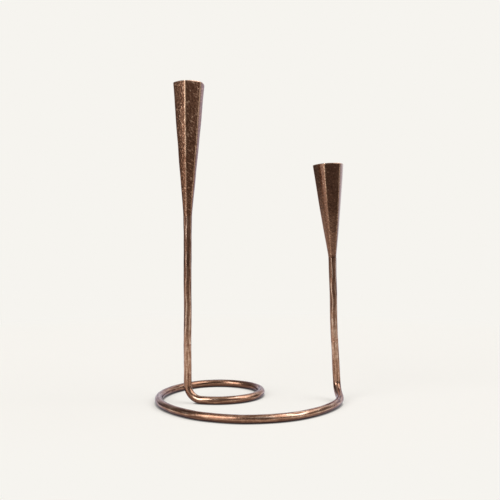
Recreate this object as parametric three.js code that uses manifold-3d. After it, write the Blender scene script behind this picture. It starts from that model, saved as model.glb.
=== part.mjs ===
// Two-light spiral candle holder. A hammered bar is bent into a flat spiral whose two ends turn up. A stem
// is doweled and welded onto each end, and a six-sided tapered cup is brazed onto each stem.
// Millimetres, +Z up, +X to the right and +Y to the back. The origin is under the middle of the box.

import * as THREE from "three";
import { mergeVertices } from "three/addons/utils/BufferGeometryUtils.js";
import Module from "manifold-3d";

const wasm = await Module();
wasm.setup();

// Bar
const barDiameter = 7.8;
const barSides = 16;

// Flat spiral, from the tall stem's end to the short stem's end: each bend is round its own former
const innerFormerRadius = 46.9;
const sweepFormerRadius = 54.7;
const outerFormerRadius = 94.3;
const startHeading = -19.9;
const spiralBends = [
  { formerRadius: innerFormerRadius, sweep: 212.4 },
  { formerRadius: sweepFormerRadius, sweep: 42 },
  { formerRadius: outerFormerRadius, sweep: 212.8 },
];
const elbowRadius = 15.3;
const turnedUpLength = 41;

// Heights over the table
const tallNeckHeight = 194.5;
const kneeHeight = 66.5;
const shortNeckHeight = 151.2;

// Joint between a turned-up end and its stem
const dowelDiameter = 4;
const dowelLength = 24;
const weldBevel = 1.1;

// Cups
const cupSides = 6;
const tallCupLength = 138.5;
const shortCupLength = 99.6;
const cupMouthAcrossFlats = 29.2;
const cupWall = 1.5;
const cupRimChamfer = 0.4;
const tallCupBelly = 0.1;
const shortCupBelly = 0.3;
const tenonLength = 18;
const brazeGrip = 8;
const brazeCover = 4;

// The gap left between pieces that are fixed together
const fitGap = 0.3;

// Each arm leans from the foot up to its knee, less from there to the neck, and its cup leans by itself.
// A lean is in degrees towards +X, and a ridge is turned from the front towards +X.
const arms = [
  {
    name: "tall",
    footLean: 0,
    topLean: 0,
    neckHeight: tallNeckHeight,
    cupLength: tallCupLength,
    cupLean: 0.55,
    cupBelly: tallCupBelly,
    cupRidge: -9.4,
  },
  {
    name: "short",
    footLean: -3.3,
    topLean: -1.3,
    neckHeight: shortNeckHeight,
    cupLength: shortCupLength,
    cupLean: -2.9,
    cupBelly: shortCupBelly,
    cupRidge: -19.2,
  },
];

// Longest step along a bend, as an angle, and steps along a stem and a cup's wall
const bendStep = 7.5;
const elbowStep = 11.25;
const stemSteps = 6;
const cupSteps = 6;

const barRadius = barDiameter / 2;
const tenonRadius = barRadius - cupWall - fitGap;
const brazeStart = tenonLength - brazeGrip;
const radians = THREE.MathUtils.degToRad;
const up = new THREE.Vector3(0, 0, 1);

// Materials
function metal(color, roughness) {
  return new THREE.MeshStandardMaterial({ color, roughness, metalness: 1 });
}
const hammeredBar = metal(0x8a5a40, 0.38);
const peenedSheet = metal(0x7a4f38, 0.42);
const brazeMetal = metal(0xb08a4c, 0.45);
const weldMetal = metal(0x7d5440, 0.5);
const dowelSteel = metal(0x8d8f92, 0.35);

// A closed geometry as a solid that can be cut, and back
function solidOf(geometry) {
  const loose = geometry.index ? geometry.toNonIndexed() : geometry.clone();
  loose.deleteAttribute("normal");
  loose.deleteAttribute("uv");
  const merged = mergeVertices(loose, 1e-4);
  return new wasm.Manifold(
    new wasm.Mesh({
      numProp: 3,
      vertProperties: merged.attributes.position.array,
      triVerts: new Uint32Array(merged.index.array),
    }),
  );
}

function geometryOf(solid) {
  const { vertProperties, triVerts } = solid.getMesh();
  return new THREE.BufferGeometry()
    .setAttribute("position", new THREE.BufferAttribute(vertProperties, 3))
    .setIndex(new THREE.BufferAttribute(triVerts, 1));
}

// A polygon of n sides has its flats at the given distance when its corners are this far out
function cornerRadius(flatDistance, sides) {
  return flatDistance / Math.cos(Math.PI / sides);
}

// An arc in a level plane that starts at a point with a heading and turns left
class FlatArc extends THREE.Curve {
  constructor(start, heading, radius, sweep) {
    super();
    this.heading = heading;
    this.radius = radius;
    this.sweep = sweep;
    const left = new THREE.Vector3(-Math.sin(heading), Math.cos(heading), 0);
    this.centre = start.clone().addScaledVector(left, radius);
  }
  getPoint(t, target = new THREE.Vector3()) {
    const angle = this.heading + this.sweep * t;
    return target
      .set(Math.sin(angle), -Math.cos(angle), 0)
      .multiplyScalar(this.radius)
      .add(this.centre);
  }
  getTangent(t, target = new THREE.Vector3()) {
    const angle = this.heading + this.sweep * t;
    return target.set(Math.cos(angle), Math.sin(angle), 0);
  }
}

// A quarter bend whose two ends lie one radius from its corner
function elbow(corner, from, to, radius) {
  const handle = radius * (1 - (4 / 3) * (Math.SQRT2 - 1));
  const point = (direction, distance) =>
    corner.clone().addScaledVector(direction, distance);
  return new THREE.CubicBezierCurve3(
    point(from, -radius),
    point(from, -handle),
    point(to, handle),
    point(to, radius),
  );
}

// The centre line of a bar as stations, each with a point, a tangent and the bar's radius there. Its frames
// are carried along the bar without twist, from a given side direction at its start or else from its most
// level station, so that one flat of a level bar stays underneath. They are as long as the bar's radius, so a
// section of radius 1 takes the bar's bevels and its tenon.
class BarLine extends THREE.Curve {
  constructor(startSide = null) {
    super();
    this.startSide = startSide;
    this.stations = [];
  }
  station(point, tangent, radius) {
    this.stations.push({ point, tangent: tangent.clone().normalize(), radius });
    return this;
  }
  // Stations along a span of a curve, whose radius goes from the first of two radii to the second
  follow(curve, steps, span = [0, 1], radii = [barRadius, barRadius]) {
    const first = this.stations.length ? 1 : 0;
    for (let i = first; i <= steps; i++) {
      const share = i / steps;
      const along = THREE.MathUtils.lerp(...span, share);
      const radius = THREE.MathUtils.lerp(...radii, share);
      this.station(curve.getPointAt(along), curve.getTangentAt(along), radius);
    }
    return this;
  }
  getSpacedPoints() {
    return this.stations.map((s) => s.point);
  }
  // The side direction at each station
  sides() {
    const tangents = this.stations.map((s) => s.tangent);
    const slopes = tangents.map((t) => Math.abs(t.z));
    const level = this.startSide ? 0 : slopes.indexOf(Math.min(...slopes));
    const across = new THREE.Vector3().crossVectors(up, tangents[level]);
    const sides = [];
    sides[level] = this.startSide ?? across.normalize();
    const turn = new THREE.Quaternion();
    const carry = (from, to) => {
      turn.setFromUnitVectors(tangents[from], tangents[to]);
      sides[to] = sides[from].clone().applyQuaternion(turn);
    };
    for (let i = level + 1; i < tangents.length; i++) carry(i - 1, i);
    for (let i = level - 1; i >= 0; i--) carry(i + 1, i);
    return sides;
  }
  computeFrenetFrames() {
    const frames = { tangents: [], normals: [], binormals: [] };
    const sides = this.sides();
    this.stations.forEach(({ tangent, radius }, i) => {
      const over = new THREE.Vector3().crossVectors(tangent, sides[i]);
      frames.tangents.push(tangent);
      frames.normals.push(sides[i].clone().multiplyScalar(radius));
      frames.binormals.push(over.multiplyScalar(radius));
    });
    return frames;
  }
}

// The bar's section with its flats one unit from the middle and one flat underneath
const barSection = new THREE.Shape(
  Array.from({ length: barSides }, (_, i) => {
    const angle = ((i + 0.5) / barSides) * 2 * Math.PI;
    const corner = cornerRadius(1, barSides);
    return new THREE.Vector2(
      corner * Math.cos(angle),
      corner * Math.sin(angle),
    );
  }),
);

function barGeometry(line) {
  return new THREE.ExtrudeGeometry(barSection, {
    steps: line.stations.length - 1,
    extrudePath: line,
  });
}

// A round or many-sided turned piece with its axis along +Z
function turned(profile, sides, firstCorner = 0) {
  const points = profile.map(([radius, height]) => {
    const corner = cornerRadius(radius, sides);
    return new THREE.Vector2(corner, height);
  });
  return new THREE.LatheGeometry(points, sides, firstCorner).rotateX(
    Math.PI / 2,
  );
}

// Turns a piece that stands on its own +Z so that it stands along a direction, with its +X along a side
function standAlong(object, point, direction, side) {
  const over = new THREE.Vector3().crossVectors(direction, side);
  const basis = new THREE.Matrix4().makeBasis(side, over, direction);
  object.position.copy(point);
  object.quaternion.setFromRotationMatrix(basis);
  return object;
}

function leanDirection(degrees) {
  const angle = radians(degrees);
  return new THREE.Vector3(Math.sin(angle), 0, Math.cos(angle));
}

// Flat spiral: the bends follow one another from the tall foot to the short foot
const spiralHeading = radians(startHeading);
const spiralStart = new THREE.Vector3(0, 0, barRadius);
const spiralArcs = [];
let bendStart = spiralStart;
let bendHeading = spiralHeading;
for (const { formerRadius, sweep } of spiralBends) {
  const arc = new FlatArc(
    bendStart,
    bendHeading,
    formerRadius,
    radians(sweep),
  );
  spiralArcs.push(arc);
  bendStart = arc.getPoint(1);
  bendHeading += radians(sweep);
}

// An arm's foot, its rising line to the neck, and the share of that line at a distance below the welded joint
function armLine(arm, flatEnd, outward) {
  const corner = flatEnd.clone().addScaledVector(outward, -elbowRadius);
  const rise = leanDirection(arm.footLean);
  const foot = elbow(corner, rise.clone().negate(), outward, elbowRadius);
  const start = foot.getPoint(0);
  const knee = start
    .clone()
    .addScaledVector(rise, (kneeHeight - start.z) / rise.z);
  const top = leanDirection(arm.topLean);
  const neck = knee
    .clone()
    .addScaledVector(top, (arm.neckHeight - kneeHeight) / top.z);
  const stem = new THREE.QuadraticBezierCurve3(start, knee, neck);
  const below = (distance) => (turnedUpLength - distance) / stem.getLength();
  return { foot, stem, below, neck };
}

function reversed(curve) {
  const back = new THREE.Curve();
  back.getPoint = (t) => curve.getPoint(1 - t);
  return back;
}

const headingDirection = (heading) =>
  new THREE.Vector3(Math.cos(heading), Math.sin(heading), 0);
const [tallArm, shortArm] = arms;
const tallLine = armLine(tallArm, spiralStart, headingDirection(spiralHeading));
const shortLine = armLine(
  shortArm,
  bendStart,
  headingDirection(bendHeading).negate(),
);

// The welded end of a bar is bevelled for the weld, and the two bevelled ends leave a gap at the root
const rootGap = fitGap / 2;
const bevelledRadius = barRadius - weldBevel;
const opening = [bevelledRadius, barRadius];
const closing = [barRadius, bevelledRadius];

// Base bar: down the tall turned-up end, round the spiral and up the short one
function baseSpiral() {
  const line = new BarLine();
  const elbowSteps = Math.ceil(90 / elbowStep);
  const tallEnd = reversed(tallLine.stem);
  const tallRoot = 1 - tallLine.below(rootGap);
  const tallBevel = 1 - tallLine.below(rootGap + weldBevel);
  const shortRoot = shortLine.below(rootGap);
  const shortBevel = shortLine.below(rootGap + weldBevel);
  line.follow(tallEnd, 1, [tallRoot, tallBevel], opening);
  line.follow(tallEnd, stemSteps, [tallBevel, 1]);
  line.follow(tallLine.foot, elbowSteps);
  spiralBends.forEach(({ sweep }, i) => {
    line.follow(spiralArcs[i], Math.ceil(sweep / bendStep));
  });
  line.follow(reversed(shortLine.foot), elbowSteps);
  line.follow(shortLine.stem, stemSteps, [0, shortBevel]);
  line.follow(shortLine.stem, 1, [shortBevel, shortRoot], closing);
  return line;
}

// Frame of a line's joint: where it is, which way the bar rises there, and the bar's side direction
function jointFrame({ stem, below }, side) {
  return {
    point: stem.getPointAt(below(0)),
    rise: stem.getTangentAt(below(0)),
    side,
  };
}

function dowelHole(frame) {
  const depth = dowelLength / 2 + fitGap;
  const hole = new THREE.CylinderGeometry(
    dowelDiameter / 2 + fitGap,
    dowelDiameter / 2 + fitGap,
    2 * depth,
    barSides,
  ).rotateX(Math.PI / 2);
  const placed = standAlong(
    new THREE.Mesh(hole),
    frame.point,
    frame.rise,
    frame.side,
  );
  placed.updateMatrix();
  return solidOf(hole.applyMatrix4(placed.matrix));
}

// Stem: a bevelled welded end, the bar up to the neck, a shoulder for the cup and a tenon inside it
function stemLine(arm, line, side) {
  const axis = leanDirection(arm.cupLean);
  const root = line.below(-rootGap);
  const bevel = line.below(-rootGap - weldBevel);
  const bar = new BarLine(side);
  bar.follow(line.stem, 1, [root, bevel], opening);
  bar.follow(line.stem, stemSteps, [bevel, 1]);
  const tenonTop = line.neck.clone().addScaledVector(axis, tenonLength);
  bar.station(line.neck, axis, tenonRadius);
  bar.station(tenonTop, axis, tenonRadius);
  return bar;
}

// Weld: a ring that fills the two bevels, flush with the bar
function weldGeometry() {
  const inner = bevelledRadius + fitGap * Math.SQRT2;
  const innerHalf = weldBevel - (barRadius - inner);
  return turned(
    [
      [inner, -innerHalf],
      [barRadius, -weldBevel],
      [barRadius, weldBevel],
      [inner, innerHalf],
      [inner, -innerHalf],
    ],
    barSides,
    Math.PI / barSides,
  );
}

// Half the distance across a cup's flats at a height over its neck: a straight taper with a slight belly
function cupHalfFlats(arm, height) {
  const share = height / arm.cupLength;
  const taper = THREE.MathUtils.lerp(
    barRadius,
    cupMouthAcrossFlats / 2,
    share,
  );
  return taper + arm.cupBelly * 4 * share * (1 - share);
}

function cupGeometry(arm) {
  const mouth = cupMouthAcrossFlats / 2;
  const outside = [];
  const inside = [];
  for (let i = 0; i < cupSteps; i++) {
    const height = (arm.cupLength * i) / cupSteps;
    const half = cupHalfFlats(arm, height);
    outside.push([half, height]);
    inside.unshift([half - cupWall, height]);
  }
  const rim = arm.cupLength - cupRimChamfer;
  const profile = [
    ...outside,
    [cupHalfFlats(arm, rim), rim],
    [mouth - cupRimChamfer, arm.cupLength],
    [mouth - cupWall + cupRimChamfer, arm.cupLength],
    [cupHalfFlats(arm, rim) - cupWall, rim],
    ...inside,
  ];
  profile.push(profile[0]);
  return turned(profile, cupSides, radians(arm.cupRidge));
}

// Braze: the pool that fills the cup's narrow end round the tenon and over it
function brazeGeometry(arm) {
  const inside = (height) => cupHalfFlats(arm, height) - cupWall - fitGap;
  const hole = tenonRadius + fitGap;
  const holeTop = tenonLength + fitGap;
  const poolTop = tenonLength + brazeCover;
  return turned(
    [
      [hole, brazeStart],
      [inside(brazeStart), brazeStart],
      [inside(poolTop), poolTop],
      [0, poolTop],
      [0, holeTop],
      [hole, holeTop],
      [hole, brazeStart],
    ],
    cupSides,
    radians(arm.cupRidge),
  );
}

function piece(name, geometry, material) {
  const mesh = new THREE.Mesh(geometry, material);
  mesh.name = name;
  return mesh;
}

// Assembly
const candelabra = new THREE.Group();
const baseLine = baseSpiral();
const baseSides = baseLine.sides();
const tallFrame = jointFrame(tallLine, baseSides[0]);
const shortFrame = jointFrame(shortLine, baseSides[baseSides.length - 1]);
const baseSolid = solidOf(barGeometry(baseLine))
  .subtract(dowelHole(tallFrame))
  .subtract(dowelHole(shortFrame));
candelabra.add(piece("base_spiral", geometryOf(baseSolid), hammeredBar));

function addArm(arm, line, frame) {
  const stem = solidOf(barGeometry(stemLine(arm, line, frame.side))).subtract(
    dowelHole(frame),
  );
  const dowel = new THREE.CylinderGeometry(
    dowelDiameter / 2,
    dowelDiameter / 2,
    dowelLength,
    barSides,
  ).rotateX(Math.PI / 2);

  const joint = standAlong(
    new THREE.Group(),
    frame.point,
    frame.rise,
    frame.side,
  );
  joint.add(piece(`${arm.name}_stem_dowel`, dowel, dowelSteel));
  joint.add(piece(`${arm.name}_stem_weld`, weldGeometry(), weldMetal));

  const head = new THREE.Group();
  head.position.copy(line.neck);
  head.rotation.y = radians(arm.cupLean);
  const cup = piece(`${arm.name}_cup`, cupGeometry(arm), peenedSheet);
  cup.position.z = fitGap;
  const braze = piece(`${arm.name}_cup_braze`, brazeGeometry(arm), brazeMetal);
  braze.position.z = fitGap;
  head.add(cup, braze);

  candelabra.add(
    piece(`${arm.name}_stem`, geometryOf(stem), hammeredBar),
    joint,
    head,
  );
}
addArm(tallArm, tallLine, tallFrame);
addArm(shortArm, shortLine, shortFrame);

// The origin goes under the middle of the box
const box = new THREE.Box3().setFromObject(candelabra, true);
const middle = box.getCenter(new THREE.Vector3());
candelabra.position.set(-middle.x, -middle.y, -box.min.z);
const holder = new THREE.Group();
holder.add(candelabra);

export default holder;
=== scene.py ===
import itertools
import math

import bpy
import numpy as np
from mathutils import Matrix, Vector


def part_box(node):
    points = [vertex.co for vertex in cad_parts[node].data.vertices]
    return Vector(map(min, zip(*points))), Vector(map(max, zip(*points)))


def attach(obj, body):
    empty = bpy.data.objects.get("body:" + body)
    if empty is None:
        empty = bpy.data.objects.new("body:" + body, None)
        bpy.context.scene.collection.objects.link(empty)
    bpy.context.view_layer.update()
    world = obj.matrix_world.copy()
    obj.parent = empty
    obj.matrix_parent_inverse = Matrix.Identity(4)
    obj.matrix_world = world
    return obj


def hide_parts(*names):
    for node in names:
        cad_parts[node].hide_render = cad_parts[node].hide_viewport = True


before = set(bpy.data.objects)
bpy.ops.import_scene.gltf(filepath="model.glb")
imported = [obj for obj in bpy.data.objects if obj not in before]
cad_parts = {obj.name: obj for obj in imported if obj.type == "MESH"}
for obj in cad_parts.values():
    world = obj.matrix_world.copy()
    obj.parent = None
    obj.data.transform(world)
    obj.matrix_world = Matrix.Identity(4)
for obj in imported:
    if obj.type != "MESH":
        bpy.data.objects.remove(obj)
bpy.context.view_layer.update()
print("frame loaded,", len(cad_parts), "nodes")

millimetre = 0.001
cupSides = 6
sixth = 2 * math.pi / cupSides
sharpAngle = math.radians(50)


def boxMiddle(node):
    low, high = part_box(node)
    return np.array((low + high) / 2) / millimetre


def smooth(low, high, value):
    # 0 below low, 1 above high, and an S between them
    share = np.clip((value - low) / (high - low), 0, 1)
    return share * share * (3 - 2 * share)


def unit(vectors):
    return vectors / np.linalg.norm(vectors, axis=-1, keepdims=True)


def ripple(points, wavelength, seed):
    # Sum of sine waves in scattered directions, about -1 to 1, with crests one wavelength apart
    waves = 5
    rng = np.random.default_rng(seed)
    directions = unit(rng.normal(size=(waves, 3))) * (2 * math.pi / wavelength)
    phases = rng.uniform(0, 2 * math.pi, waves)
    return np.sin(points @ directions.T + phases).sum(-1) / (waves / 2)


def nearestDent(points, spacing, seed):
    # Distance to the nearest of scattered dent centres, one in each cube of a repeated lattice, in spacings
    cubes = 32
    table = np.random.default_rng(seed).random((cubes, cubes, cubes, 3))
    scaled = points.reshape(-1, 3) / spacing
    home = np.floor(scaled).astype(int)
    nearest = np.full(len(scaled), np.inf)
    for step in itertools.product((-1, 0, 1), repeat=3):
        cube = home + step
        centre = cube + table[tuple((cube % cubes).T)]
        nearest = np.minimum(nearest, ((scaled - centre) ** 2).sum(-1))
    return np.sqrt(nearest).reshape(points.shape[:-1])


def blurred(field, reach):
    # Mean over a window of stations, and over the same window around, where the field closes on itself
    steps = range(-reach, reach + 1)
    padded = np.pad(field, ((reach, reach), (0, 0)), mode="edge")
    along = sum(padded[reach + k : reach + k + len(field)] for k in steps)
    around = sum(np.roll(along, k, axis=1) for k in steps)
    return around / len(steps) ** 2


def fromCorner(azimuth):
    # Angle to the nearest corner of a hexagon that has a corner at 0
    return np.abs((azimuth + sixth / 2) % sixth - sixth / 2)


def roundedHexagon(azimuth, halfFlats, cornerRadius):
    # Distance from the middle to a hexagon with rounded corners: on a flat it is halfFlats over the cosine
    # from the flat's middle, and on a corner it is where the ray meets the corner's arc
    offset = fromCorner(azimuth)
    centre = (halfFlats - cornerRadius) / math.cos(sixth / 2)
    tangent = np.arctan2(cornerRadius * math.sin(sixth / 2), centre + cornerRadius * math.cos(sixth / 2))
    onFlat = halfFlats / np.cos(sixth / 2 - offset)
    inside = np.maximum(cornerRadius**2 - (centre * np.sin(offset)) ** 2, 0)
    onCorner = centre * np.cos(offset) + np.sqrt(inside)
    return np.where(offset > tangent, onFlat, onCorner)


def gridObject(name, rows, poles, tone, finish, node):
    # Closed surface from rows of points round a line: quads between rows, and a fan to each pole. With no
    # poles the last row joins the first. The tone is 0 in dark hollows, 0.5 on plain metal and 1 on rubbed
    # crests.
    count, around = rows.shape[:2]
    index = np.arange(count * around).reshape(count, around)
    below = index if poles is None else index[:-1]
    above = np.roll(index, -1, axis=0)[: len(below)]
    quads = np.stack([below, np.roll(below, -1, 1), np.roll(above, -1, 1), above], -1).reshape(-1, 4)
    points = rows.reshape(-1, 3)
    values = tone.ravel()
    fans = np.empty((0, 3), int)
    if poles is not None:
        first, last = index[0], index[-1]
        start, end = len(points), len(points) + 1
        points = np.concatenate([points, poles])
        values = np.append(values, [0, 0])
        opening = np.stack([np.roll(first, -1), first, np.full(around, start)], -1)
        closing = np.stack([last, np.roll(last, -1), np.full(around, end)], -1)
        fans = np.concatenate([opening, closing])
    corners = np.concatenate([quads.ravel(), fans.ravel()])
    starts = np.concatenate([np.arange(len(quads)) * 4, quads.size + np.arange(len(fans)) * 3])
    mesh = bpy.data.meshes.new(name)
    mesh.vertices.add(len(points))
    mesh.vertices.foreach_set("co", (points * millimetre).ravel())
    mesh.loops.add(len(corners))
    mesh.loops.foreach_set("vertex_index", corners)
    mesh.polygons.add(len(starts))
    mesh.polygons.foreach_set("loop_start", starts)
    mesh.polygons.foreach_set("use_smooth", np.ones(len(starts), bool))
    mesh.update(calc_edges=True)
    mesh.set_sharp_from_angle(angle=sharpAngle)
    mesh.attributes.new("tone", "FLOAT", "POINT").data.foreach_set("value", values.astype(np.float32))
    mesh.materials.append(finish)
    piece = bpy.data.objects.new(name, mesh)
    bpy.context.scene.collection.objects.link(piece)
    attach(piece, "root")
    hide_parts(node)
    print(name, len(points), "points")


# Finishes
def linear(hexColour):
    # sRGB hex value to linear red, green, blue and alpha
    coded = np.array([int(hexColour[k : k + 2], 16) for k in (1, 3, 5)]) / 255
    decoded = np.where(coded <= 0.04045, coded / 12.92, ((coded + 0.055) / 1.055) ** 2.4)
    return (*decoded.tolist(), 1.0)


def perMetre(size):
    # Noise scale that gives features of a size in millimetres
    return 1 / (size * millimetre)


def addNode(tree, kind, inputs, **settings):
    made = tree.nodes.new(kind)
    for name, value in settings.items():
        setattr(made, name, value)
    for name, value in inputs.items():
        if isinstance(value, bpy.types.NodeSocket):
            tree.links.new(value, made.inputs[name])
        else:
            made.inputs[name].default_value = value
    return made


def newMaterial(name):
    material = bpy.data.materials.new(name)
    material.use_nodes = True
    material.node_tree.nodes.clear()
    return material, material.node_tree


colourA, colourB, colourOut = 6, 7, 2  # the colour sockets of a Mix node
bodyTone = 0.5
noiseMiddle = 0.5  # noise lies evenly about this value
cloudNoise = {"Detail": 3.0, "Roughness": 0.6}
grainNoise = {"Detail": 2.0, "Roughness": 0.7}
waxIor = 1.43
strokeSlope = math.radians(40)  # strokes fall from left to right


def workedMetal(name, look):
    # Metal in three tones, hollow, body and crest, chosen by the piece's tone attribute. Cloudy mottling and
    # grain, which may be drawn out along the strokes, shift the tone, and the grain also lifts the surface.
    material, tree = newMaterial(name)
    place = addNode(tree, "ShaderNodeTexCoord", {}).outputs["Object"]
    tone = addNode(tree, "ShaderNodeAttribute", {}, attribute_name="tone").outputs["Fac"]
    cloud = addNode(
        tree,
        "ShaderNodeTexNoise",
        {"Vector": place, "Scale": perMetre(look["mottle"]), **cloudNoise},
    ).outputs["Fac"]
    stroked = addNode(
        tree,
        "ShaderNodeMapping",
        {"Vector": place, "Rotation": (0, strokeSlope, 0), "Scale": (look["grainStretch"], 1, 1)},
        vector_type="TEXTURE",
    ).outputs["Vector"]
    grain = addNode(
        tree,
        "ShaderNodeTexNoise",
        {"Vector": stroked, "Scale": perMetre(look["grain"]), **grainNoise},
    ).outputs["Fac"]
    mottled = addNode(
        tree,
        "ShaderNodeMath",
        {0: cloud, 1: look["mottleShift"], 2: tone},
        operation="MULTIPLY_ADD",
    ).outputs["Value"]
    grained = addNode(
        tree,
        "ShaderNodeMath",
        {0: grain, 1: look["grainShift"], 2: mottled},
        operation="MULTIPLY_ADD",
    ).outputs["Value"]
    # The values at which tone 0 and the body's tone come out of both shifts
    hollow = noiseMiddle * (look["mottleShift"] + look["grainShift"])
    plain = hollow + bodyTone
    toBody = addNode(
        tree, "ShaderNodeMapRange", {"Value": grained, "From Min": hollow, "From Max": plain}
    ).outputs["Result"]
    toCrest = addNode(
        tree, "ShaderNodeMapRange", {"Value": grained, "From Min": plain, "From Max": hollow + 1}
    ).outputs["Result"]
    body = addNode(
        tree,
        "ShaderNodeMix",
        {0: toBody, colourA: linear(look["hollow"]), colourB: linear(look["body"])},
        data_type="RGBA",
    ).outputs[colourOut]
    colour = addNode(
        tree,
        "ShaderNodeMix",
        {0: toCrest, colourA: body, colourB: linear(look["crest"])},
        data_type="RGBA",
    ).outputs[colourOut]
    gloss = addNode(
        tree,
        "ShaderNodeMapRange",
        {"Value": toCrest, "To Min": look["roughness"], "To Max": look["crestRoughness"]},
    ).outputs["Result"]
    relief = addNode(
        tree,
        "ShaderNodeBump",
        {"Height": grain, "Distance": look["relief"] * millimetre, "Strength": 1.0},
    ).outputs["Normal"]
    shader = addNode(
        tree,
        "ShaderNodeBsdfPrincipled",
        {
            "Base Color": colour,
            "Roughness": gloss,
            "Normal": relief,
            "Metallic": 1.0,
            "Specular Tint": linear(look["edge"]),
            "Coat Weight": look["wax"],
            "Coat Roughness": look["waxRoughness"],
            "Coat IOR": waxIor,
        },
    )
    addNode(tree, "ShaderNodeOutputMaterial", {"Surface": shader.outputs["BSDF"]})
    return material


# Mottle and grain are sizes in millimetres. The real grain is a few tenths of a millimetre, too fine to show
# in the render, so that of each finish is drawn as coarse as it needs to show.
unwaxed = {"grainStretch": 1.0, "wax": 0.0, "waxRoughness": 0.2}

# Copper plate darkened brown, rubbed back and waxed: brown in the hammer marks, warm copper over most of the
# bar, peach on the rubbed ridges, and a cool lilac sheen where the waxed metal is seen edge-on
barFinish = workedMetal(
    "antique copper plate on hammered steel bar",
    {
        "hollow": "#6a4736",
        "body": "#a47b63",
        "crest": "#e6c8b2",
        "edge": "#ccd0ea",
        "mottle": 9,
        "mottleShift": 0.9,
        "grain": 1.6,
        "grainShift": 0.6,
        "grainStretch": 1.0,
        "relief": 0.045,
        "roughness": 0.24,
        "crestRoughness": 0.2,
        "wax": 0.35,
        "waxRoughness": 0.2,
    },
)
# The same plate over close hammer peening: dark specks in the dents, light crests between them, grain drawn
# out along slanting strokes, and arrises rubbed through to bright copper
tallCupFinish = workedMetal(
    "antique copper plate on peened steel sheet",
    {
        "hollow": "#6f4a34",
        "body": "#a87a60",
        "crest": "#f8d0b0",
        "edge": "#cfcce6",
        "mottle": 7,
        "mottleShift": 0.4,
        "grain": 1.0,
        "grainShift": 1.9,
        "grainStretch": 3.4,
        "relief": 0.13,
        "roughness": 0.24,
        "crestRoughness": 0.2,
        "wax": 0.3,
        "waxRoughness": 0.24,
    },
)
# The same plate over smoothed sheet: an even dark brown with a satin gloss and only the ridge rubbed lighter
shortCupFinish = workedMetal(
    "antique copper plate on planished steel sheet",
    {
        "hollow": "#643f29",
        "body": "#8a6048",
        "crest": "#ecc4a4",
        "edge": "#f4ecff",
        "mottle": 11,
        "mottleShift": 0.25,
        "grain": 1.8,
        "grainShift": 1.5,
        "grainStretch": 1.0,
        "relief": 0.08,
        "roughness": 0.17,
        "crestRoughness": 0.2,
        "wax": 0.85,
        "waxRoughness": 0.1,
    },
)
# Filed weld under the same plate: a shade duller and closer in grain than the bar
weldFinish = workedMetal(
    "antique copper plate on filed steel weld",
    {
        **unwaxed,
        "hollow": "#755646",
        "body": "#a07864",
        "crest": "#d0a88e",
        "edge": "#c4c8e4",
        "mottle": 3,
        "mottleShift": 0.6,
        "grain": 0.8,
        "grainShift": 0.5,
        "relief": 0.03,
        "roughness": 0.28,
        "crestRoughness": 0.22,
    },
)
# Brass that has flowed and set: dull yellow with a darker flux haze
brazeFinish = workedMetal(
    "brass brazing pool with flux haze",
    {
        **unwaxed,
        "hollow": "#7a5c33",
        "body": "#a8854a",
        "crest": "#d8b878",
        "edge": "#e0d8c8",
        "mottle": 3,
        "mottleShift": 0.9,
        "grain": 0.8,
        "grainShift": 0.4,
        "relief": 0.04,
        "roughness": 0.45,
        "crestRoughness": 0.35,
    },
)
# Cold drawn bar: plain grey with a fine bright grain
dowelFinish = workedMetal(
    "bright drawn steel dowel",
    {
        **unwaxed,
        "hollow": "#8a8c90",
        "body": "#a6a8ac",
        "crest": "#c4c6ca",
        "edge": "#e8eaf0",
        "mottle": 4,
        "mottleShift": 0.6,
        "grain": 0.5,
        "grainShift": 0.6,
        "relief": 0.005,
        "roughness": 0.35,
        "crestRoughness": 0.3,
    },
)
print("finishes made")

# Line of the bar. In plan it runs straight from the tall foot, then round one former after another, and
# straight again to the short foot.
spiral = {
    "formers": (46.9, 88.5, 110.5, 86.1, 121.5, 39.1),  # radii to the middle of the bar
    "sweeps": (241.7, 77.3, 25.7, 74.2, 34.7, 16.9),  # degrees round each former
    "heading": -19.8,  # degrees from +X towards +Y
    "straight": 15.3,
    "barRadius": 4.1,  # before the blows, which only take metal away
    "turnedUp": 41,  # from the bend up to the weld
    "knee": 66.5,  # height at which the foot's lean goes over to the top's
}
# A bend is a curve by control points, each the way along the plan from the foot and the height over it.
# Leans, ridge and twist are in degrees. The ridge is the cup's front arris, and it twists down the stem.
tallArm = {
    "bend": ((0, 15.3), (0, 6.9), (6.9, 0), (15.3, 0)),
    "neck": 194.5,
    "neckHalf": 4.35,
    "drawnOut": 0,  # taken off the radius where a stem is drawn out
    "footLean": 0,
    "topLean": 0,
    "cupLean": 0.55,
    "ridge": -7.6,
    "twist": -12,
    "dark": 0.28,  # painted shade: tone lost under the cup, out to a reach from the neck
    "paintedShadeReach": (85, 130),
    "paintedFootLight": 0.03,  # painted light: tone gained below that reach, lighter down the stem
}
shortArm = {
    "bend": ((0, 18), (0, 9), (1.5, 8), (12, 0), (36, 0)),
    "neck": 151.2,
    "neckHalf": 4.1,
    "drawnOut": 0.2,
    "footLean": -3.7,
    "topLean": -1.0,
    "cupLean": -2.65,
    "ridge": -19.2,
    "twist": -10,
    "dark": 0.2,
    "paintedShadeReach": (35, 85),
    "paintedFootLight": 0.13,
}
curvePoints = 800
dense = np.linspace(0, 1, curvePoints)


def leaning(degrees):
    # Unit vector that points up and leans towards +X
    angle = math.radians(degrees)
    return np.array([math.sin(angle), 0, math.cos(angle)])


def level(degrees):
    # Unit vectors in plan, by their headings
    angle = np.radians(degrees)
    return np.stack([np.cos(angle), np.sin(angle), 0 * angle], -1)


def bezier(*controls):
    # Bernstein sum of the control points
    order = len(controls) - 1
    weights = [math.comb(order, k) * dense**k * (1 - dense) ** (order - k) for k in range(order + 1)]
    return sum(weight[:, None] * np.array(control) for weight, control in zip(weights, controls))


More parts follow.
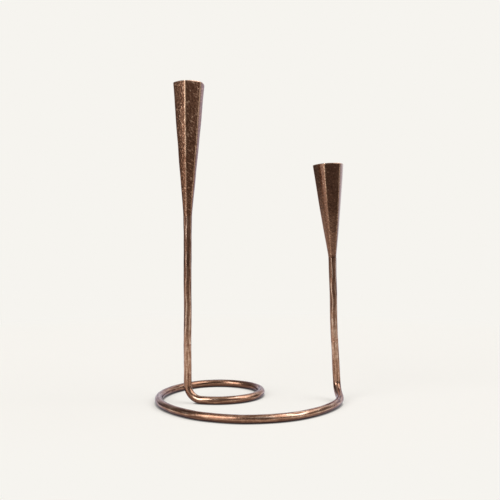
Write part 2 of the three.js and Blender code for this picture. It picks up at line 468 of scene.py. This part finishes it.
def lengths(points):
    # Length of the line up to each of its points
    return np.concatenate([[0], np.cumsum(np.linalg.norm(np.diff(points, axis=0), axis=1))])


def armLine(arm, plan, planHeading):
    # From the neck down the rising line and round the bend, which follows the plan away from its first point
    along, up = bezier(*arm["bend"]).T
    away = lengths(plan)
    climb = leaning(arm["footLean"])
    followed = np.stack([np.interp(along, away, plan[:, k]) for k in range(3)], -1)
    bend = followed + up[:, None] * climb / climb[2]
    bendHeading = np.interp(along, away, planHeading)
    top = leaning(arm["topLean"])
    knee = bend[0] + climb * (spiral["knee"] - bend[0][2]) / climb[2]
    neck = knee + top * (arm["neck"] - spiral["knee"]) / top[2]
    stem = bezier(neck, knee, bend[0])
    heading = np.concatenate([np.full(len(stem), planHeading[0]), bendHeading])
    return np.concatenate([stem, bend]), heading, lengths(stem)[-1], away > along[-1]


heading = spiral["heading"]
tallFoot = np.array([*boxMiddle("tall_stem_dowel")[:2], spiral["barRadius"]])
plan = [tallFoot + spiral["straight"] * dense[:, None] * level(heading)]
planHeading = [np.full(len(dense), heading)]
for former, sweep in zip(spiral["formers"], spiral["sweeps"]):
    turning = heading + sweep * dense
    plan.append(plan[-1][-1] + former * (level(turning - 90) - level(heading - 90)))
    planHeading.append(turning)
    heading += sweep
plan.append(plan[-1][-1] + spiral["straight"] * dense[:, None] * level(heading))
planHeading.append(np.full(len(dense), heading))
plan = np.concatenate(plan)
planHeading = np.concatenate(planHeading)
tallLine, tallHeading, tallLength, pastTall = armLine(tallArm, plan, planHeading)
shortLine, shortHeading, shortLength, pastShort = armLine(shortArm, plan[::-1], planHeading[::-1])
flat = pastTall & pastShort[::-1]
line = np.concatenate([tallLine, plan[flat], shortLine[::-1]])
lineHeading = np.concatenate([tallHeading, planHeading[flat], shortHeading[::-1]])
lineLength = lengths(line)
tallJoint = tallLength - spiral["turnedUp"]
shortJoint = lineLength[-1] - shortLength + spiral["turnedUp"]
print("bar", round(lineLength[-1]), "mm long")

# Hammered bar: every blow leaves a nearly flat face, and the bar is the smooth minimum of the round bar and
# the faces. Ridges between the faces are rubbed light, by how far the radius is over its mean nearby.
hammer = {
    "step": 0.8,
    "around": 72,
    "ringSpacing": 10,
    "blowsInRing": 4,
    "strayAlong": 0.5,  # of a ring's spacing
    "strayAround": 0.4,  # of the turn between two blows
    "depth": (0.0, 0.22),
    "faceRadius": 160,
    "faceReach": 2.5,  # half widths of the deepest face
    "faceEnd": 0.5,  # cosine from the middle of a face to where it ends
    "edge": 0.07,  # softness where faces meet
    "bow": 0.22,  # how far the bar strays from its line
    "bowLength": 45,
    "bowRise": 30,  # from a neck to where it strays in full
    "stemShare": 0.9,  # depth of the blows on the stems
    "stemFrom": (20, 60),  # heights between which the bar becomes a stem
    "rubBlur": 4,
    "rub": 7.0,
    "uneven": 0.13,  # slow change in the tone along the bar
    "unevenLength": 150,
    "unevenSeed": 277,
    "undersideShade": 0.5,  # painted shade: tone lost where the bar faces down
    "undersideShadeFrom": (0, 0.2),  # how far a normal points down
    "seed": 11,
}
weld = {"half": 1.1, "bead": 0.03, "innerRadius": 3.22, "innerHalf": 0.42}  # half widths along the bar
ends = [0, tallJoint - weld["half"], tallJoint + weld["half"]]
ends += [shortJoint - weld["half"], shortJoint + weld["half"], lineLength[-1]]
spans = [np.linspace(a, b, math.ceil((b - a) / hammer["step"]) + 1) for a, b in zip(ends, ends[1:])]
stations = np.concatenate([spans[0], *[part[1:] for part in spans[1:]]])
cuts = np.searchsorted(stations, ends)
angles = np.arange(hammer["around"]) * 2 * math.pi / hammer["around"]
centres = np.stack([np.interp(stations, lineLength, line[:, k]) for k in range(3)], -1)
tangents = unit(np.gradient(centres, stations, axis=0))
left = level(np.interp(stations, lineLength, lineHeading) + 90)
sides = unit(left - tangents * (left * tangents).sum(-1, keepdims=True))
overs = np.cross(tangents, sides)
outward = np.cos(angles)[:, None] * sides[:, None] + np.sin(angles)[:, None] * overs[:, None]


def hammered(radius):
    # Radius at each station and angle: the round bar minus the edge softness times the logarithm of a sum of
    # exponentials, one for each face, of how far it cuts in. A ring's place also turns its blows.
    rng = np.random.default_rng(hammer["seed"])
    spacing, stray, swing = hammer["ringSpacing"], hammer["strayAlong"], hammer["strayAround"]
    rings = np.arange(-spacing, stations[-1] + spacing, spacing)
    reach = hammer["faceReach"] * math.sqrt(2 * hammer["faceRadius"] * hammer["depth"][1])
    total = np.ones((len(stations), len(angles)))
    for ring, blow in itertools.product(rings, range(hammer["blowsInRing"])):
        spot = ring + rng.uniform(-stray, stray) * spacing
        turn = ring + (blow + rng.uniform(-swing, swing)) * 2 * math.pi / hammer["blowsInRing"]
        depth = rng.uniform(*hammer["depth"])
        first, last = np.searchsorted(stations, [spot - reach, spot + reach])
        away = stations[first:last] - spot
        height = radius - depth + away**2 / (2 * hammer["faceRadius"])
        face = height[:, None] / np.maximum(np.cos(angles - turn), hammer["faceEnd"])
        total[first:last] += np.exp((radius - face) / hammer["edge"])
    return radius - hammer["edge"] * np.log(total)


# Towards each neck the stem takes on the cup's six sides, with their ridges rubbed light
neckShape = {
    "cornerShare": 0.5,  # radius of the corners, of the half width
    "reach": 95,  # below this the bar is round
    "dressed": 20,  # above this the blows are filed away
    "ridgeWidth": (0.2, 1.0),
    "ridgeWear": 0.6,
    "ridgeWander": 0.7,
    "wanderLength": 22,
}
stemward = smooth(*hammer["stemFrom"], centres[:, 2])[:, None]
blows = (hammered(spiral["barRadius"]) - spiral["barRadius"]) * (1 - (1 - hammer["stemShare"]) * stemward)
barRadius = spiral["barRadius"] + blows
barTone = bodyTone + hammer["rub"] * (barRadius - blurred(barRadius, hammer["rubBlur"]))
barTone += hammer["uneven"] * ripple(centres, hammer["unevenLength"], hammer["unevenSeed"])[:, None]
azimuth = np.arctan2(outward[..., 0], -outward[..., 1])
for arm, fromNeck in ((tallArm, stations), (shortArm, stations[-1] - stations)):
    ownHalf = (fromNeck < stations[-1] / 2)[:, None]
    barRadius = barRadius - arm["drawnOut"] * stemward * ownHalf
    below = smooth(0, neckShape["reach"], fromNeck)[:, None]
    ridge = np.radians(arm["ridge"] + arm["twist"] * below)
    atCup = 1 - smooth(0, neckShape["dressed"], fromNeck)[:, None]
    half = spiral["barRadius"] + (arm["neckHalf"] - spiral["barRadius"]) * atCup
    hexagon = roundedHexagon(azimuth - ridge, half, neckShape["cornerShare"] * half)
    barRadius = barRadius * (1 + (1 - below) * (hexagon / spiral["barRadius"] - 1))
    barRadius = barRadius + atCup * (hexagon - barRadius)
    swing = ripple(centres, neckShape["wanderLength"], hammer["seed"])[:, None]
    wander = neckShape["ridgeWander"] * swing * (1 - atCup)
    fromRidge = fromCorner(azimuth - ridge + wander / spiral["barRadius"]) * spiral["barRadius"]
    wear = neckShape["ridgeWear"] * (1 - smooth(*neckShape["ridgeWidth"], fromRidge))
    # Painted shade darkens each stem under its cup, and painted light lightens it below that reach
    lower = smooth(*arm["paintedShadeReach"], fromNeck)[:, None]
    barTone += (wear - arm["dark"]) * (1 - lower) + arm["paintedFootLight"] * lower * stemward * ownHalf
# Painted shade: the bar's underside is darker the more it faces down
barTone -= hammer["undersideShade"] * smooth(*hammer["undersideShadeFrom"], -outward[..., 2])
calm = smooth(0, hammer["bowRise"], np.minimum(stations, stations[-1] - stations))
bow = hammer["bow"] * calm * ripple(centres, hammer["bowLength"], hammer["seed"])
middles = centres + bow[:, None] * sides
surface = middles[:, None] + barRadius[..., None] * outward


def span(k):
    # Stations of the k-th piece, with both its ends
    return slice(cuts[k], cuts[k + 1] + 1)


def collar(k, radius, shift):
    # Row of points round the bar's line at a station, moved along the line
    return middles[k] + tangents[k] * shift + radius * outward[k]


# Ends of the bars, hidden in the joints. The root gap is half the way between two bevelled ends.
dowelSocket = {"radius": 2.3, "depth": 12.3, "bevelledRadius": 2.8, "rootGap": 0.15}
tenon = {"radius": 2.1, "length": 18}


def socketRows(k, inwards):
    # The bevelled end of a bar and the dowel's socket in it, from the outside in
    gap = (weld["half"] - dowelSocket["rootGap"]) * -inwards
    depth = (dowelSocket["depth"] - weld["half"]) * inwards
    rows = [
        collar(k, dowelSocket["bevelledRadius"], gap),
        collar(k, dowelSocket["radius"], gap),
        collar(k, dowelSocket["radius"], depth),
    ]
    return np.stack(rows), middles[k] + tangents[k] * depth


def tenonRows(k, arm):
    # The shoulder under a cup and the tenon in it, from the outside in
    axis = leaning(arm["cupLean"]) * tenon["length"]
    foot = collar(k, tenon["radius"], 0)
    return np.stack([foot, foot + axis]), middles[k] + axis


def barPiece(name, k, start, end):
    # A length of the hammered surface, closed by its end rows and poles
    startRows, startPole = start
    endRows, endPole = end
    rows = np.concatenate([startRows[::-1], surface[span(k)], endRows])
    tone = np.concatenate([0 * startRows[..., 0], barTone[span(k)], 0 * endRows[..., 0]])
    poles = np.stack([startPole, endPole])
    gridObject(name + "_bar", rows, poles, tone, barFinish, name)


last = len(stations) - 1
barPiece("tall_stem", 0, tenonRows(0, tallArm), socketRows(cuts[1], -1))
barPiece("base_spiral", 2, socketRows(cuts[2], 1), socketRows(cuts[3], -1))
barPiece("short_stem", 4, socketRows(cuts[4], 1), tenonRows(last, shortArm))

# Weld rings: filed nearly flush, with a trace of the bead left
for name, k in (("tall_stem_weld", 1), ("short_stem_weld", 3)):
    across = np.linspace(-1, 1, cuts[k + 1] - cuts[k] + 1)
    bead = weld["bead"] * (1 - across**2)
    outer = surface[span(k)] + bead[:, None, None] * outward[span(k)]
    middle = (cuts[k] + cuts[k + 1]) // 2
    inner = [collar(middle, weld["innerRadius"], shift) for shift in (weld["innerHalf"], -weld["innerHalf"])]
    rows = np.concatenate([outer, inner])
    tone = np.concatenate([barTone[span(k)], np.zeros((2, len(angles)))])
    gridObject(name + "_ring", rows, None, tone, weldFinish, name)

# Cups: the tall one peened all over and rubbed through on its arrises, the short one smoothed
tallCup = {
    "arm": tallArm,
    "length": 138.8,
    "belly": 0.25,  # bulge halfway up
    "arris": 2.2,  # radius of the corners at the mouth
    "faceBow": 0.028,  # bulge of a face, of the half width
    "dent": 1.3,  # spacing of the peening
    "dentDepth": 0.22,
    "plainNeck": 50,  # height over which peening and bulge come in
    "wave": 0.12,  # slow unevenness of the faces
    "tone": 0.2,  # in the dents, at the mouth
    "crestTone": 0.8,  # gained between the dents
    "neckTone": -0.3,  # change at the neck
    "arrisWear": 1.3,
    "arrisWidth": (0.5, 1.1),  # from bright to plain, beside an arris
    "patchy": 0.15,  # share of the wear that comes and goes
    "rimDip": 0.4,  # how much lower the rim is at a corner
    "finish": tallCupFinish,
    "seed": 21,
}
shortCup = {
    "arm": shortArm,
    "length": 99.9,
    "belly": 0.45,
    "arris": 1.3,
    "faceBow": 0.055,
    "dent": 1.4,
    "dentDepth": 0.05,
    "plainNeck": 12,
    "wave": 0.05,
    "tone": 0.3,
    "crestTone": 0.28,
    "neckTone": -0.18,
    "arrisWear": 0.8,
    "arrisWidth": (0.3, 0.9),
    "patchy": 0.1,
    "rimDip": 0.2,
    "finish": shortCupFinish,
    "seed": 34,
}
cupForm = {
    "mouthHalf": 14.9,
    "wall": 1.5,
    "neckEase": 3,  # size of the soft start of the taper
    "innerArris": 0.8,
    "softPower": 4,  # how soon the corners leave the neck's softness
    "cornerLimit": 0.9,  # radius of a corner, of the half width
    "step": 0.45,
    "innerStep": 2.5,
    "rimRows": 9,
    "around": 240,
    "crowding": 0.15,
    "strokeStretch": 3.2,  # length of a dent over its width
    "dentMiddle": 0.3,  # squared distance from a dent at which the face is neither sunk nor raised
    "crestFrom": (-0.2, 0.7),  # from dent to crest
    "arrisClear": 2,  # arris widths that the peening keeps clear
    "waveLength": 24,
    "dipWidth": 4.0,
    "dipPower": 30,
    "wornRim": (1.6, 0.4),  # below the rim
    "wornSide": 0.3,  # how far the worn band lies beside the arris
    "neckWear": 0.45,  # share of the wear that is left at the neck
    "patchLength": 9,
    "innerTone": 0.4,
}
stroke = np.array([math.cos(strokeSlope), 0, -math.sin(strokeSlope)])
squeeze = 1 - 1 / cupForm["strokeStretch"]
dentSlant = np.eye(3) - squeeze * np.outer(stroke, stroke)  # dents are long along the stroke


def cupHalf(cup, height):
    # Half the width over the flats: a hyperbola that starts softly at the neck and soon runs straight, and a
    # parabola that adds the belly halfway up
    length, ease = cup["length"], cupForm["neckEase"]
    share = (np.hypot(height, ease) - ease) / (math.hypot(length, ease) - ease)
    neckHalf = cup["arm"]["neckHalf"]
    taper = neckHalf + (cupForm["mouthHalf"] - neckHalf) * share
    return taper + cup["belly"] * 4 * share * (1 - share)


def cupPlace(cup, neck, radius, azimuth, height):
    # Radius and azimuth from the front, round the cup's leaning axis
    axis = leaning(cup["arm"]["cupLean"])
    across = np.array([axis[2], 0, -axis[0]])
    back = np.array([0, 1, 0])
    flat = np.sin(azimuth)[..., None] * across - np.cos(azimuth)[..., None] * back
    return neck + height[..., None] * axis + radius[..., None] * flat


def cupShell(name, cup, neck, node):
    # Rows up the outside, over the rim and down the inside. The outside is the rounded hexagon plus the bow
    # of its faces, the peening and a slow wave. Points crowd towards the arrises.
    length, wall = cup["length"], cupForm["wall"]
    even = np.arange(cupForm["around"]) * 2 * math.pi / cupForm["around"]
    fromRidge = even - cupForm["crowding"] * np.sin(cupSides * even) / cupSides
    outside = np.linspace(0, length - wall / 2, math.ceil(length / cupForm["step"]))
    inside = np.linspace(length - wall / 2, 0, math.ceil(length / cupForm["innerStep"]))
    over = np.linspace(0, math.pi, cupForm["rimRows"] + 2)[1:-1]
    height = np.concatenate([outside, length - wall / 2 * (1 - np.sin(over)), inside])
    inset = np.concatenate([0 * outside, wall / 2 * (1 - np.cos(over)), wall + 0 * inside])
    half = cupHalf(cup, height) - inset
    towardsNeck = (1 - height / length) ** cupForm["softPower"]
    softness = cup["arris"] + (neckShape["cornerShare"] * half - cup["arris"]) * towardsNeck
    corner = np.where(inset > wall / 2, cupForm["innerArris"], softness)
    corner = np.minimum(corner, cupForm["cornerLimit"] * half)
    turn, high = np.meshgrid(fromRidge, height)
    radius = roundedHexagon(turn, half[:, None], corner[:, None])
    azimuth = turn + math.radians(cup["arm"]["ridge"])
    fromArris = fromCorner(turn) * radius
    acrossFace = 1 - (1 - fromCorner(turn) / (sixth / 2)) ** 2
    lively = smooth(0, cup["plainNeck"], high)
    radius = radius + cup["faceBow"] * half[:, None] * acrossFace * lively
    plain = cupPlace(cup, neck, radius, azimuth, high)
    dents = nearestDent(plain @ dentSlant, cup["dent"], cup["seed"]) ** 2 - cupForm["dentMiddle"]
    onOutside = (1 - smooth(0, wall / 2, inset))[:, None]
    sway = ripple(plain, cupForm["waveLength"], cup["seed"]) * cup["wave"]
    clear = cupForm["arrisClear"] * cup["arrisWidth"][1]
    peening = cup["dentDepth"] * dents * smooth(0, clear, fromArris)
    radius = radius + onOutside * lively * (peening + sway)
    dip = cup["rimDip"] * (1 - smooth(0, cupForm["dipWidth"], fromArris))
    rows = cupPlace(cup, neck, radius, azimuth, high - dip * (high / length) ** cupForm["dipPower"])
    patchy = 1 + cup["patchy"] * (ripple(plain, cupForm["patchLength"], cup["seed"] + 1) - 1)
    fromWorn = fromCorner(turn + cupForm["wornSide"] / radius) * radius
    rising = cupForm["neckWear"] + (1 - cupForm["neckWear"]) * high / length
    arris = (1 - smooth(*cup["arrisWidth"], fromWorn)) * patchy * rising * cup["arrisWear"]
    rimFrom, rimTo = cupForm["wornRim"]
    rim = smooth(length - rimFrom, length - rimTo, high) * patchy
    peened = cup["tone"] + cup["crestTone"] * smooth(*cupForm["crestFrom"], dents)
    peened = peened + cup["neckTone"] * (1 - high / length)
    tone = peened + (1 - peened) * np.clip(np.maximum(arris, rim), 0, 1)
    tone = cupForm["innerTone"] + (tone - cupForm["innerTone"]) * onOutside
    gridObject(name, rows, None, tone, cup["finish"], node)


# Heights are over the neck
braze = {
    "holeRadius": 2.4,
    "holeTop": 18.3,
    "bottom": 10,
    "wallTop": 22.6,
    "poolTop": 21.4,
    "wallGap": 0.02,
    "levels": 8,
    "dish": 12,
    "meniscusPower": 6,
    "around": 96,
    "tone": 0.4,
}


def brazePool(name, cup, neck, node):
    # A plug that fills the cup's narrow end, hollow where the tenon is, with its top edge drawn up the wall
    hole = [(braze["holeRadius"], braze["holeTop"]), (braze["holeRadius"], braze["bottom"])]
    levels = np.linspace(braze["bottom"], braze["wallTop"], braze["levels"])
    wall = [(cupHalf(cup, z) - cupForm["wall"] - braze["wallGap"], z) for z in levels]
    wallTop = wall[-1][0]
    rise = braze["wallTop"] - braze["poolTop"]
    shares = np.linspace(1, 0, braze["dish"])[1:-1]
    dish = [(wallTop * share, braze["poolTop"] + rise * share ** braze["meniscusPower"]) for share in shares]
    half, height = np.array(hole + wall + dish).T
    around = np.arange(braze["around"]) * 2 * math.pi / braze["around"]
    turn, high = np.meshgrid(around, height)
    corner = np.where(np.arange(len(half)) < len(hole), half, cupForm["innerArris"])
    radius = roundedHexagon(turn, half[:, None], np.minimum(corner, half)[:, None])
    azimuth = turn + math.radians(cup["arm"]["ridge"])
    rows = cupPlace(cup, neck, radius, azimuth, high)
    poles = cupPlace(cup, neck, np.zeros(2), np.zeros(2), np.array([braze["holeTop"], braze["poolTop"]]))
    tone = np.full(high.shape, braze["tone"])
    gridObject(name, rows, poles, tone, brazeFinish, node)


for kind, cup, k in (("tall", tallCup, 0), ("short", shortCup, last)):
    cupShell(kind + "_cup_shell", cup, centres[k], kind + "_cup")
    brazePool(kind + "_braze_pool", cup, centres[k], kind + "_cup_braze")
    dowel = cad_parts[kind + "_stem_dowel"]
    dowel.data.materials.clear()
    dowel.data.materials.append(dowelFinish)
print("pieces made")

# Floor: matt paper that fades into the backdrop round a middle behind the object. Part of its light is its
# own, and from glowFrom to fadeFrom that part becomes the whole, so that the fade leaves no line.
floorLook = {
    "colour": "#f6f4ef",
    "middle": 360,  # behind the object
    "squeeze": (0.88, 1, 1),
    "radius": 2200,
    "corners": 72,
    "glow": 0.5,
    "glowFrom": 450,
    "fadeFrom": 650,
    "fadeTo": 1700,
    # The painted contact shadow: how far it reaches and its colour
    "contactShadowReach": 2.4,
    "contactShadowColour": "#363132",
}
paper, paperTree = newMaterial("matt seamless paper")
paperPlace = addNode(paperTree, "ShaderNodeTexCoord", {}).outputs["Object"]
paperMiddle = addNode(
    paperTree,
    "ShaderNodeVectorMath",
    {0: paperPlace, 1: (0, floorLook["middle"] * millimetre, 0)},
    operation="SUBTRACT",
).outputs["Vector"]
paperOval = addNode(
    paperTree, "ShaderNodeVectorMath", {0: paperMiddle, 1: floorLook["squeeze"]}, operation="MULTIPLY"
).outputs["Vector"]
paperReach = addNode(paperTree, "ShaderNodeVectorMath", {0: paperOval}, operation="LENGTH").outputs["Value"]
paperFade = addNode(
    paperTree,
    "ShaderNodeMapRange",
    {
        "Value": paperReach,
        "From Min": floorLook["fadeFrom"] * millimetre,
        "From Max": floorLook["fadeTo"] * millimetre,
    },
    interpolation_type="SMOOTHSTEP",
).outputs["Result"]
# Painted contact shadow: where ambient occlusion finds the object within a short reach, the paper's colour,
# lit and glowing alike, turns dark
paperUnshadowed = addNode(
    paperTree, "ShaderNodeAmbientOcclusion", {"Distance": floorLook["contactShadowReach"] * millimetre}
).outputs["AO"]
paperColour = addNode(
    paperTree,
    "ShaderNodeMix",
    {0: paperUnshadowed, colourA: linear(floorLook["contactShadowColour"]), colourB: linear(floorLook["colour"])},
    data_type="RGBA",
).outputs[colourOut]
paperLit = addNode(paperTree, "ShaderNodeBsdfDiffuse", {"Color": paperColour}).outputs["BSDF"]
paperGlow = addNode(paperTree, "ShaderNodeEmission", {"Color": paperColour}).outputs["Emission"]
paperGlowShare = addNode(
    paperTree,
    "ShaderNodeMapRange",
    {
        "Value": paperReach,
        "From Min": floorLook["glowFrom"] * millimetre,
        "From Max": floorLook["fadeFrom"] * millimetre,
        "To Min": floorLook["glow"],
    },
    interpolation_type="SMOOTHSTEP",
).outputs["Result"]
paperFace = addNode(
    paperTree, "ShaderNodeMixShader", {0: paperGlowShare, 1: paperLit, 2: paperGlow}
).outputs["Shader"]
paperClear = addNode(paperTree, "ShaderNodeBsdfTransparent", {}).outputs["BSDF"]
paperMix = addNode(paperTree, "ShaderNodeMixShader", {0: paperFade, 1: paperFace, 2: paperClear})
addNode(paperTree, "ShaderNodeOutputMaterial", {"Surface": paperMix.outputs["Shader"]})
turns = np.arange(floorLook["corners"]) * 2 * math.pi / floorLook["corners"]
edge = np.stack([np.cos(turns), np.sin(turns), 0 * turns], -1) * floorLook["radius"] * millimetre
floorMesh = bpy.data.meshes.new("floor")
floorMesh.from_pydata(edge.tolist(), [], [list(range(len(edge)))])
floorMesh.materials.append(paper)
floor = bpy.data.objects.new("floor", floorMesh)
bpy.context.scene.collection.objects.link(floor)

# Room: dark, with a lighter ceiling and a pale backdrop behind the object that the camera and the metal see
room = {
    "backdrop": "#f6f4ef",
    "dark": "#767270",
    "paleTurn": 170,  # middle of the backdrop, in degrees from the front towards +X
    "reach": (0.5, 0.86),  # cosines from that middle, from dark to pale
    "height": (0.8, 0.98),  # sines of the angle up, from pale to dark
    "ceiling": 0.6,  # share of the backdrop's colour
    "ceilingFrom": (0.8, 0.96),
}
world = bpy.data.worlds.new("studio")
bpy.context.scene.world = world
world.use_nodes = True
sky = world.node_tree
sky.nodes.clear()
direction = addNode(sky, "ShaderNodeTexCoord", {}).outputs["Generated"]
paleTurn = math.radians(room["paleTurn"])
facing = addNode(
    sky,
    "ShaderNodeVectorMath",
    {0: direction, 1: (math.sin(paleTurn), -math.cos(paleTurn), 0)},
    operation="DOT_PRODUCT",
).outputs["Value"]
behind = addNode(
    sky,
    "ShaderNodeMapRange",
    {"Value": facing, "From Min": room["reach"][0], "From Max": room["reach"][1]},
    interpolation_type="SMOOTHSTEP",
).outputs["Result"]
upwards = addNode(sky, "ShaderNodeSeparateXYZ", {"Vector": direction}).outputs["Z"]
low = addNode(
    sky,
    "ShaderNodeMapRange",
    {
        "Value": upwards,
        "From Min": room["height"][0],
        "From Max": room["height"][1],
        "To Min": 1.0,
        "To Max": 0.0,
    },
    interpolation_type="SMOOTHSTEP",
).outputs["Result"]
backdropShare = addNode(sky, "ShaderNodeMath", {0: behind, 1: low}, operation="MULTIPLY").outputs["Value"]
ray = addNode(sky, "ShaderNodeLightPath", {}).outputs
mirrored = addNode(
    sky, "ShaderNodeMath", {0: ray["Is Glossy Ray"], 1: ray["Is Transmission Ray"]}, operation="ADD"
).outputs["Value"]
ceiling = addNode(
    sky,
    "ShaderNodeMapRange",
    {
        "Value": upwards,
        "From Min": room["ceilingFrom"][0],
        "From Max": room["ceilingFrom"][1],
        "To Max": room["ceiling"],
    },
    interpolation_type="SMOOTHSTEP",
).outputs["Result"]
overhead = addNode(
    sky, "ShaderNodeMath", {0: mirrored, 1: backdropShare, 2: ceiling}, operation="MULTIPLY_ADD"
).outputs["Value"]
seen = addNode(
    sky, "ShaderNodeMath", {0: overhead, 1: ray["Is Camera Ray"]}, operation="ADD", use_clamp=True
).outputs["Value"]
skyColour = addNode(
    sky,
    "ShaderNodeMix",
    {0: seen, colourA: linear(room["dark"]), colourB: linear(room["backdrop"])},
    data_type="RGBA",
).outputs[colourOut]
backdrop = addNode(sky, "ShaderNodeBackground", {"Color": skyColour, "Strength": 1.0})
addNode(sky, "ShaderNodeOutputWorld", {"Surface": backdrop.outputs["Background"]})

# Soft boxes far away, as discs of light: a turn from the front towards +X, a height and a width in degrees
softBoxes = {
    "leftBox": {"turn": -44, "height": 36, "width": 44, "power": 1.53},
    "leftBoxFoot": {"turn": -48, "height": 15, "width": 32, "power": 0.4},
    "leftSweep": {"turn": -70, "height": -6, "width": 24, "power": 0.16},
    "rightBox": {"turn": 70, "height": 44, "width": 46, "power": 1.08},
    "rightBoxBack": {"turn": 108, "height": 52, "width": 44, "power": 0.66},
    "rightBoxFoot": {"turn": 76, "height": 14, "width": 32, "power": 0.06},
    "rightSweep": {"turn": 78, "height": -7, "width": 22, "power": 0.05},
    "frontFill": {"turn": 46, "height": 12, "width": 32, "power": 0.02},
}
for name, box in softBoxes.items():
    lamp = bpy.data.lights.new(name, "SUN")
    lamp.energy = box["power"]
    lamp.angle = math.radians(box["width"])
    lampObject = bpy.data.objects.new(name, lamp)
    lampObject.rotation_euler = (math.radians(90 - box["height"]), 0, math.radians(box["turn"]))
    bpy.context.scene.collection.objects.link(lampObject)

# Camera, level with the middle of the object
view = {"place": (-0.51, -725.0, 159.45), "lens": 50, "sensor": 36}
camera = bpy.data.cameras.new("camera")
camera.lens = view["lens"]
camera.sensor_width = view["sensor"]
cameraObject = bpy.data.objects.new("camera", camera)
cameraObject.location = np.array(view["place"]) * millimetre
cameraObject.rotation_euler = (math.pi / 2, 0, 0)
bpy.context.scene.collection.objects.link(cameraObject)
bpy.context.scene.camera = cameraObject
bpy.context.scene.view_settings.view_transform = "Standard"
print("stage, lights and camera set")
